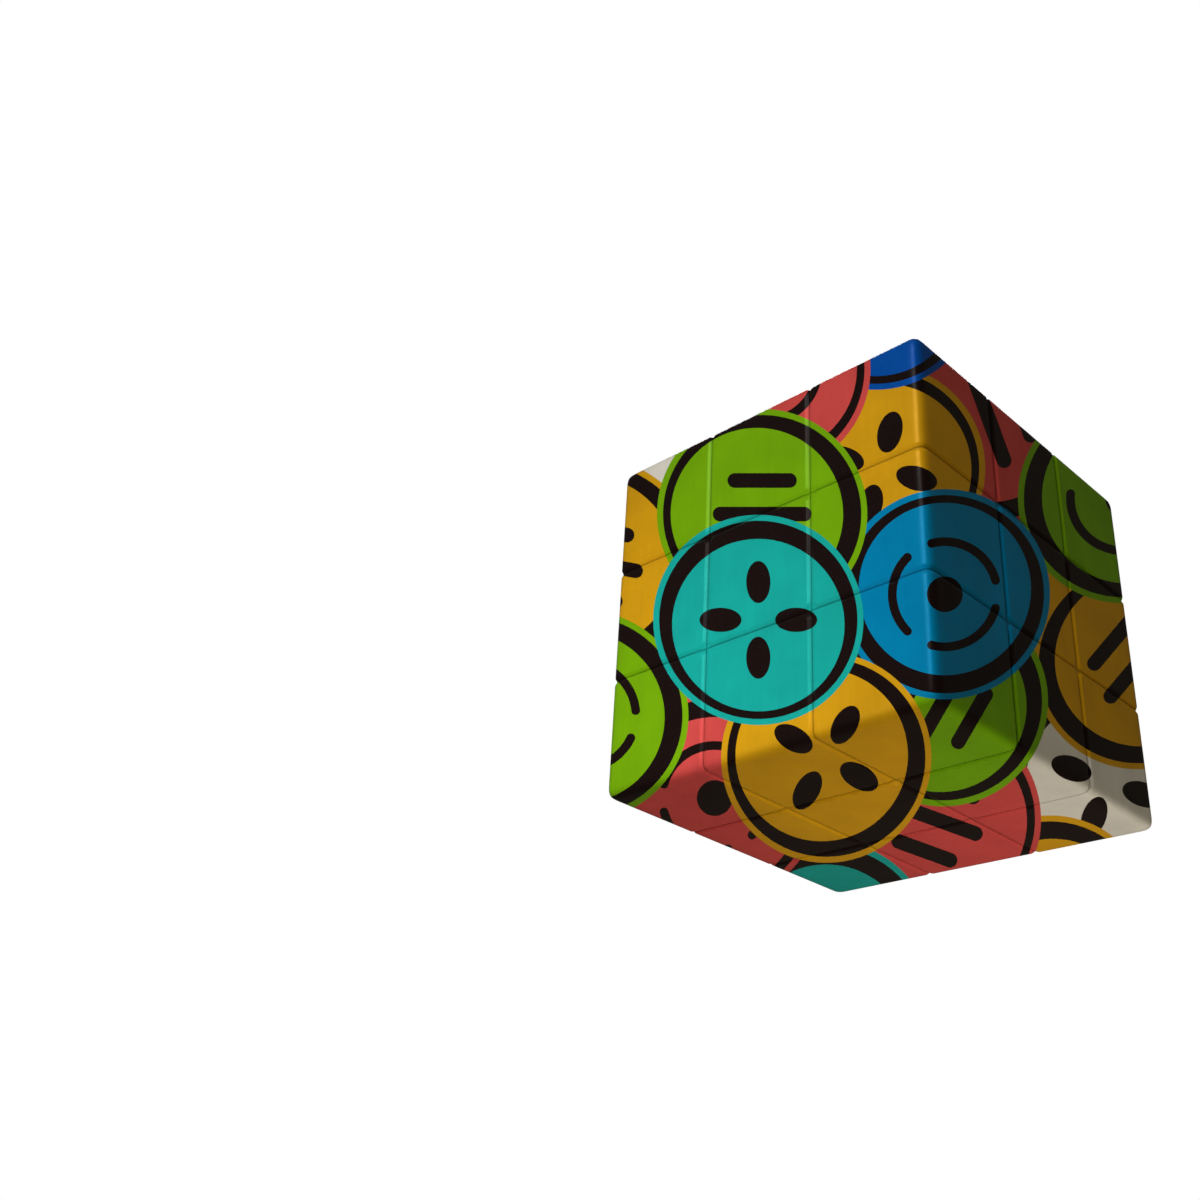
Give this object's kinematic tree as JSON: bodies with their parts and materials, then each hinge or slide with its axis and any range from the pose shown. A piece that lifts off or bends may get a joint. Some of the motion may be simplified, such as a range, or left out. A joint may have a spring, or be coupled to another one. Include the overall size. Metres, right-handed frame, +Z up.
{
  "type": "cube twisty puzzle",
  "caption": "Cube twisty puzzle with square tiles on every face; each face turns on a sprung centre and carries its edges and corners.",
  "frame": {"origin": "centre of the cube, where the turning axes of its faces meet", "axes": "+Z up through the up face's centre; +X through the right face's centre; the front face looks along -Y"},
  "size_m": [0.057, 0.057, 0.057],
  "materials": {
    "corner_print": "satin ABS, printed all over with overlapping coloured discs and black rings",
    "edge_print": "satin ABS, printed all over with overlapping coloured discs and black rings",
    "cap_print": "satin ABS, printed all over with overlapping coloured discs and black rings",
    "centre_plastic": "moulded black ABS",
    "foot_plastic": "moulded black ABS",
    "core_plastic": "moulded white nylon",
    "screw_steel": "zinc-plated steel",
    "washer_steel": "bright stainless steel",
    "spring_steel": "drawn spring steel wire"
  },
  "bodies": {
    "core": {"core": "core_plastic", "screw_right": "screw_steel", "screw_left": "screw_steel", "screw_back": "screw_steel", "screw_front": "screw_steel", "screw_up": "screw_steel", "screw_down": "screw_steel", "washer_right": "washer_steel", "washer_left": "washer_steel", "washer_back": "washer_steel", "washer_front": "washer_steel", "washer_up": "washer_steel", "washer_down": "washer_steel", "spring_right": "spring_steel", "spring_left": "spring_steel", "spring_back": "spring_steel", "spring_front": "spring_steel", "spring_up": "spring_steel", "spring_down": "spring_steel"},
    "right_centre": {"centre_right": "centre_plastic", "centre_cap_right": "cap_print"},
    "left_centre": {"centre_left": "centre_plastic", "centre_cap_left": "cap_print"},
    "back_centre": {"centre_back": "centre_plastic", "centre_cap_back": "cap_print"},
    "front_centre": {"centre_front": "centre_plastic", "centre_cap_front": "cap_print"},
    "up_centre": {"centre_up": "centre_plastic", "centre_cap_up": "cap_print"},
    "down_centre": {"centre_down": "centre_plastic", "centre_cap_down": "cap_print"},
    "edge_front_left": {"edge_front_left": "edge_print"},
    "edge_front_right": {"edge_front_right": "edge_print"},
    "edge_back_left": {"edge_back_left": "edge_print"},
    "edge_back_right": {"edge_back_right": "edge_print"},
    "edge_up_front": {"edge_up_front": "edge_print"},
    "edge_up_back": {"edge_up_back": "edge_print"},
    "edge_up_left": {"edge_up_left": "edge_print"},
    "edge_up_right": {"edge_up_right": "edge_print"},
    "edge_down_front": {"edge_down_front": "edge_print"},
    "edge_down_back": {"edge_down_back": "edge_print"},
    "edge_down_left": {"edge_down_left": "edge_print"},
    "edge_down_right": {"edge_down_right": "edge_print"},
    "corner_up_front_left": {"corner_shell_up_front_left": "corner_print", "corner_foot_up_front_left": "foot_plastic"},
    "corner_up_front_right": {"corner_shell_up_front_right": "corner_print", "corner_foot_up_front_right": "foot_plastic"},
    "corner_up_back_left": {"corner_shell_up_back_left": "corner_print", "corner_foot_up_back_left": "foot_plastic"},
    "corner_up_back_right": {"corner_shell_up_back_right": "corner_print", "corner_foot_up_back_right": "foot_plastic"},
    "corner_down_front_left": {"corner_shell_down_front_left": "corner_print", "corner_foot_down_front_left": "foot_plastic"},
    "corner_down_front_right": {"corner_shell_down_front_right": "corner_print", "corner_foot_down_front_right": "foot_plastic"},
    "corner_down_back_left": {"corner_shell_down_back_left": "corner_print", "corner_foot_down_back_left": "foot_plastic"},
    "corner_down_back_right": {"corner_shell_down_back_right": "corner_print", "corner_foot_down_back_right": "foot_plastic"}
  },
  "joints": [
    {"name": "right_turn", "type": "hinge", "parent": "core", "child": "right_centre", "pos_m": [0, 0, 0], "axis": [1, 0, 0], "continuous": true},
    {"name": "left_turn", "type": "hinge", "parent": "core", "child": "left_centre", "pos_m": [0, 0, 0], "axis": [1, 0, 0], "continuous": true},
    {"name": "back_turn", "type": "hinge", "parent": "core", "child": "back_centre", "pos_m": [0, 0, 0], "axis": [0, 1, 0], "continuous": true},
    {"name": "front_turn", "type": "hinge", "parent": "core", "child": "front_centre", "pos_m": [0, 0, 0], "axis": [0, 1, 0], "continuous": true},
    {"name": "up_turn", "type": "hinge", "parent": "core", "child": "up_centre", "pos_m": [0, 0, 0], "axis": [0, 0, 1], "continuous": true},
    {"name": "down_turn", "type": "hinge", "parent": "core", "child": "down_centre", "pos_m": [0, 0, 0], "axis": [0, 0, 1], "continuous": true},
    {"name": "edge_front_left_with_front", "type": "hinge", "parent": "left_centre", "child": "edge_front_left", "pos_m": [0, 0, 0], "axis": [0, 1, 0], "continuous": true},
    {"name": "edge_front_right_with_front", "type": "hinge", "parent": "right_centre", "child": "edge_front_right", "pos_m": [0, 0, 0], "axis": [0, 1, 0], "continuous": true},
    {"name": "edge_back_left_with_back", "type": "hinge", "parent": "left_centre", "child": "edge_back_left", "pos_m": [0, 0, 0], "axis": [0, 1, 0], "continuous": true},
    {"name": "edge_back_right_with_back", "type": "hinge", "parent": "right_centre", "child": "edge_back_right", "pos_m": [0, 0, 0], "axis": [0, 1, 0], "continuous": true},
    {"name": "edge_up_front_with_up", "type": "hinge", "parent": "front_centre", "child": "edge_up_front", "pos_m": [0, 0, 0], "axis": [0, 0, 1], "continuous": true},
    {"name": "edge_up_back_with_up", "type": "hinge", "parent": "back_centre", "child": "edge_up_back", "pos_m": [0, 0, 0], "axis": [0, 0, 1], "continuous": true},
    {"name": "edge_up_left_with_left", "type": "hinge", "parent": "up_centre", "child": "edge_up_left", "pos_m": [0, 0, 0], "axis": [1, 0, 0], "continuous": true},
    {"name": "edge_up_right_with_right", "type": "hinge", "parent": "up_centre", "child": "edge_up_right", "pos_m": [0, 0, 0], "axis": [1, 0, 0], "continuous": true},
    {"name": "edge_down_front_with_down", "type": "hinge", "parent": "front_centre", "child": "edge_down_front", "pos_m": [0, 0, 0], "axis": [0, 0, 1], "continuous": true},
    {"name": "edge_down_back_with_down", "type": "hinge", "parent": "back_centre", "child": "edge_down_back", "pos_m": [0, 0, 0], "axis": [0, 0, 1], "continuous": true},
    {"name": "edge_down_left_with_left", "type": "hinge", "parent": "down_centre", "child": "edge_down_left", "pos_m": [0, 0, 0], "axis": [1, 0, 0], "continuous": true},
    {"name": "edge_down_right_with_right", "type": "hinge", "parent": "down_centre", "child": "edge_down_right", "pos_m": [0, 0, 0], "axis": [1, 0, 0], "continuous": true},
    {"name": "corner_up_front_left_with_up", "type": "hinge", "parent": "edge_front_left", "child": "corner_up_front_left", "pos_m": [0, 0, 0], "axis": [0, 0, 1], "continuous": true},
    {"name": "corner_up_front_right_with_up", "type": "hinge", "parent": "edge_front_right", "child": "corner_up_front_right", "pos_m": [0, 0, 0], "axis": [0, 0, 1], "continuous": true},
    {"name": "corner_up_back_left_with_up", "type": "hinge", "parent": "edge_back_left", "child": "corner_up_back_left", "pos_m": [0, 0, 0], "axis": [0, 0, 1], "continuous": true},
    {"name": "corner_up_back_right_with_up", "type": "hinge", "parent": "edge_back_right", "child": "corner_up_back_right", "pos_m": [0, 0, 0], "axis": [0, 0, 1], "continuous": true},
    {"name": "corner_down_front_left_with_down", "type": "hinge", "parent": "edge_front_left", "child": "corner_down_front_left", "pos_m": [0, 0, 0], "axis": [0, 0, 1], "continuous": true},
    {"name": "corner_down_front_right_with_down", "type": "hinge", "parent": "edge_front_right", "child": "corner_down_front_right", "pos_m": [0, 0, 0], "axis": [0, 0, 1], "continuous": true},
    {"name": "corner_down_back_left_with_down", "type": "hinge", "parent": "edge_back_left", "child": "corner_down_back_left", "pos_m": [0, 0, 0], "axis": [0, 0, 1], "continuous": true},
    {"name": "corner_down_back_right_with_down", "type": "hinge", "parent": "edge_back_right", "child": "corner_down_back_right", "pos_m": [0, 0, 0], "axis": [0, 0, 1], "continuous": true}
  ],
  "couplings": [
    {"joint": "edge_front_left_with_front", "follows": "front_turn", "ratio": 1},
    {"joint": "edge_front_right_with_front", "follows": "front_turn", "ratio": 1},
    {"joint": "edge_back_left_with_back", "follows": "back_turn", "ratio": 1},
    {"joint": "edge_back_right_with_back", "follows": "back_turn", "ratio": 1},
    {"joint": "edge_up_front_with_up", "follows": "up_turn", "ratio": 1},
    {"joint": "edge_up_back_with_up", "follows": "up_turn", "ratio": 1},
    {"joint": "edge_up_left_with_left", "follows": "left_turn", "ratio": 1},
    {"joint": "edge_up_right_with_right", "follows": "right_turn", "ratio": 1},
    {"joint": "edge_down_front_with_down", "follows": "down_turn", "ratio": 1},
    {"joint": "edge_down_back_with_down", "follows": "down_turn", "ratio": 1},
    {"joint": "edge_down_left_with_left", "follows": "left_turn", "ratio": 1},
    {"joint": "edge_down_right_with_right", "follows": "right_turn", "ratio": 1},
    {"joint": "corner_up_front_left_with_up", "follows": "up_turn", "ratio": 1},
    {"joint": "corner_up_front_right_with_up", "follows": "up_turn", "ratio": 1},
    {"joint": "corner_up_back_left_with_up", "follows": "up_turn", "ratio": 1},
    {"joint": "corner_up_back_right_with_up", "follows": "up_turn", "ratio": 1},
    {"joint": "corner_down_front_left_with_down", "follows": "down_turn", "ratio": 1},
    {"joint": "corner_down_front_right_with_down", "follows": "down_turn", "ratio": 1},
    {"joint": "corner_down_back_left_with_down", "follows": "down_turn", "ratio": 1},
    {"joint": "corner_down_back_right_with_down", "follows": "down_turn", "ratio": 1}
  ]
}
